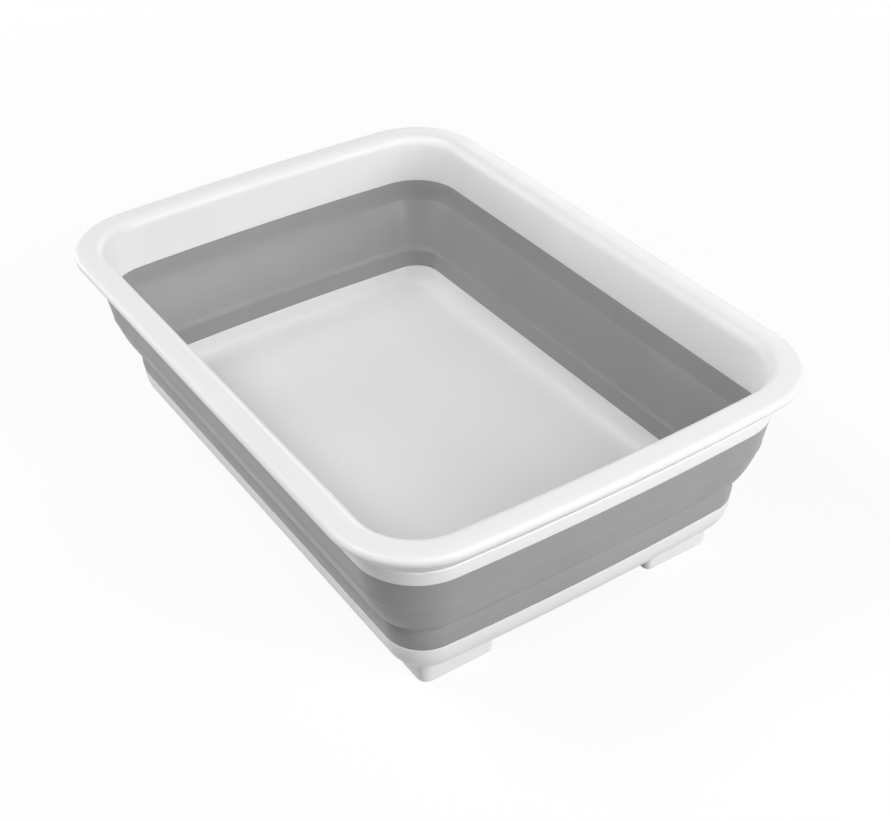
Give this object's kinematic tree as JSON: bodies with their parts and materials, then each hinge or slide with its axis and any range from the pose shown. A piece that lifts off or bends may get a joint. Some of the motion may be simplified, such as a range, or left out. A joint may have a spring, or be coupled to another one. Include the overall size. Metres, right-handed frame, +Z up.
{
  "type": "collapsible wash tub",
  "caption": "Rectangular collapsible wash tub: a rigid white rim and footed tray joined by a soft grey wall that folds down flat.",
  "frame": {"origin": "on the surface the tub stands on, under the middle of the tub", "axes": "+X along the tub's length, +Y across its width, +Z up"},
  "size_m": [0.38, 0.2744, 0.1205],
  "materials": {
    "white_plastic": "smooth satin white polypropylene",
    "grey_rubber": "smooth matt grey thermoplastic rubber"
  },
  "bodies": {
    "base": {"base_tray": "white_plastic", "wall_lower_band": "grey_rubber"},
    "web": {"wall_fold_web": "grey_rubber"},
    "rim": {"rim": "white_plastic", "wall_upper_band": "grey_rubber"}
  },
  "joints": [
    {"name": "rim_fold", "type": "slide", "parent": "base", "child": "rim", "axis": [0, 0, -1], "range_m": [0, 0.0508]},
    {"name": "web_fold", "type": "slide", "parent": "base", "child": "web", "axis": [0, 0, -1], "range_m": [0, 0.0254]}
  ],
  "couplings": [
    {"joint": "web_fold", "follows": "rim_fold", "ratio": 0.5}
  ]
}
